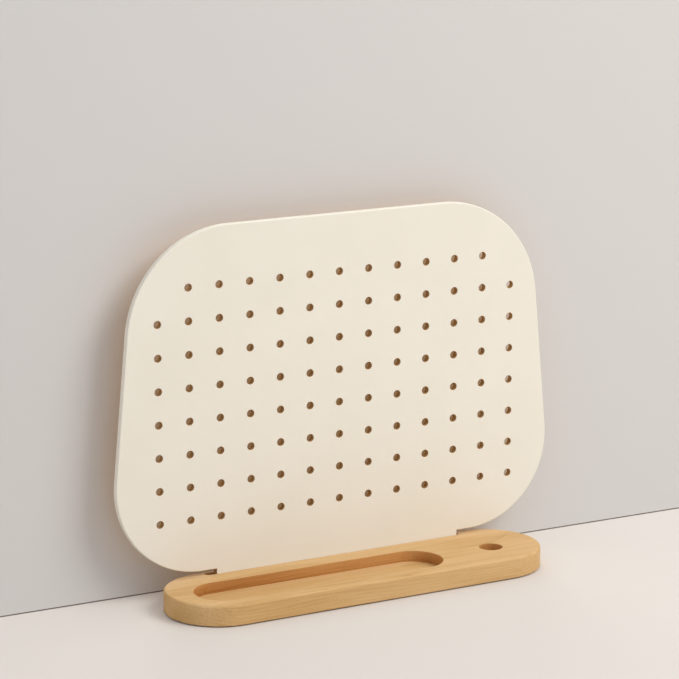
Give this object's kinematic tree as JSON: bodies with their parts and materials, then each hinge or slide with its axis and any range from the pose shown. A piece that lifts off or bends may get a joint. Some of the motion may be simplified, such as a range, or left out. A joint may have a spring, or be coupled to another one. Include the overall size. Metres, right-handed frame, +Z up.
{
  "type": "desk pegboard",
  "caption": "Cream painted pegboard with rounded corners, standing by a tongue in the slot of a round-ended beech base with a pen tray and a pen hole.",
  "frame": {"origin": "on the desk, below the middle of the object: the middle of its bounding box's bottom face", "axes": "+X to the right along the board, +Y from the front of the base to the back, +Z up"},
  "size_m": [0.3694, 0.083, 0.2799],
  "materials": {
    "painted_board": "fine fibreboard, painted cream, matt, with bare brown hole walls",
    "beech": "solid beech, sanded, matt oil",
    "pad_rubber": "matt, pale grey"
  },
  "bodies": {
    "base": {"beech_base": "beech", "pad_front_left": "pad_rubber", "pad_front_right": "pad_rubber", "pad_back_left": "pad_rubber", "pad_back_right": "pad_rubber"},
    "panel": {"pegboard_panel": "painted_board"}
  },
  "joints": [
    {"name": "panel_lift", "type": "slide", "parent": "base", "child": "panel", "axis": [0, 0, 1], "range_m": [0, 0.012]}
  ]
}
